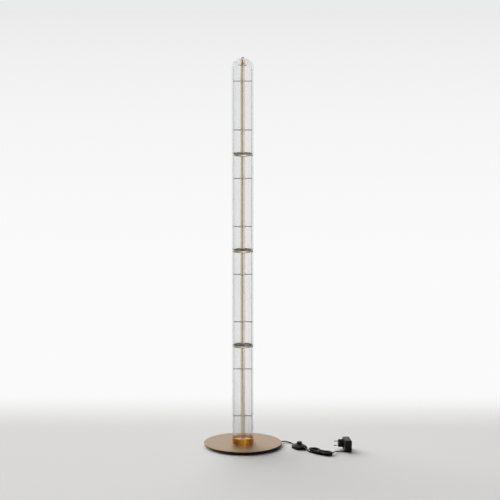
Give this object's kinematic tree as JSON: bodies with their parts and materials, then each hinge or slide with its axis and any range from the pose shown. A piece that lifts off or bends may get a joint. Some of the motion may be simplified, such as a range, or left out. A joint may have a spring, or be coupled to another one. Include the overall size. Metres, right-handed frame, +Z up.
{
  "type": "floor lamp",
  "caption": "Floor lamp: a column of ribbed clear glass with a domed top on a round metal base, a brass stem inside, and a foot switch and wall adapter on its cord.",
  "frame": {"origin": "centre of the base's underside, on the floor", "axes": "+Z up along the column; +X along the spreader bars, towards the side where the foot switch, the spare cord and the adapter lie; -Y towards the viewer of the picture"},
  "size_m": [0.6651, 0.3667, 1.7603],
  "materials": {
    "black_iron": "black powder coat",
    "black_rubber": "matte",
    "board_plastic": "white solder resist",
    "bright_steel": "nickel plated, bright",
    "clear_plastic": "clear",
    "cord_jacket": "smooth, half matte",
    "dark_bronze": "dark bronze plating, polished",
    "gloss_black": "gloss",
    "green_board": "solder resist",
    "matte_black": "fine grain",
    "opal_plastic": "opal",
    "pale_silicone": "translucent, matte",
    "polished_brass": "polished and lacquered",
    "ribbed_glass": "clear, ribbed outside",
    "satin_bronze": "steel plate with a satin bronze plating",
    "spreader_steel": "satin",
    "wire_jacket": "smooth",
    "zinc_steel": "zinc plated"
  },
  "bodies": {
    "lamp": {"adapter_board": "green_board", "adapter_case": "matte_black", "adapter_front": "matte_black", "adapter_relief": "black_rubber", "base_cover": "satin_bronze", "base_pad": "black_rubber", "base_screws": "zinc_steel", "base_weight": "black_iron", "button_spring": "zinc_steel", "cable_gland": "matte_black", "collar_screws": "zinc_steel", "column_collar": "polished_brass", "cord_hank": "cord_jacket", "cord_lead": "cord_jacket", "cord_link": "cord_jacket", "cord_tail": "cord_jacket", "dome_cone": "pale_silicone", "finial_nut": "dark_bronze", "finial_washer": "black_rubber", "glass_dome": "ribbed_glass", "glass_gaskets": "pale_silicone", "glass_tube_1": "ribbed_glass", "glass_tube_2": "ribbed_glass", "glass_tube_3": "ribbed_glass", "hank_tie": "matte_black", "inner_lead": "black_rubber", "joint_disc_1": "dark_bronze", "joint_disc_2": "dark_bronze", "joint_disc_3": "dark_bronze", "light_board_1": "board_plastic", "light_board_2": "board_plastic", "light_board_3": "board_plastic", "light_board_4": "board_plastic", "opal_ring_1": "opal_plastic", "opal_ring_2": "opal_plastic", "opal_ring_3": "opal_plastic", "opal_ring_4": "opal_plastic", "plug_pins": "bright_steel", "rod_nut": "zinc_steel", "spreader_screws": "zinc_steel", "spreader_tips": "clear_plastic", "spreaders_1": "spreader_steel", "spreaders_2": "spreader_steel", "spreaders_3": "spreader_steel", "spreaders_4": "spreader_steel", "stem_1": "polished_brass", "stem_2": "polished_brass", "stem_3": "polished_brass", "stem_4": "polished_brass", "stem_cap": "polished_brass", "stem_wires": "wire_jacket", "switch_base": "gloss_black", "switch_board": "green_board", "switch_cover": "gloss_black", "switch_feet": "black_rubber", "switch_relief_in": "black_rubber", "switch_relief_out": "black_rubber", "switch_screws": "zinc_steel", "tie_rod": "zinc_steel"},
    "button": {"foot_button": "gloss_black"}
  },
  "joints": [
    {"name": "button_push", "type": "slide", "parent": "lamp", "child": "button", "axis": [0, 0, -1], "range_m": [0, 0.003], "stiffness_N_per_m": 1200, "deforming": ["button_spring"]}
  ]
}
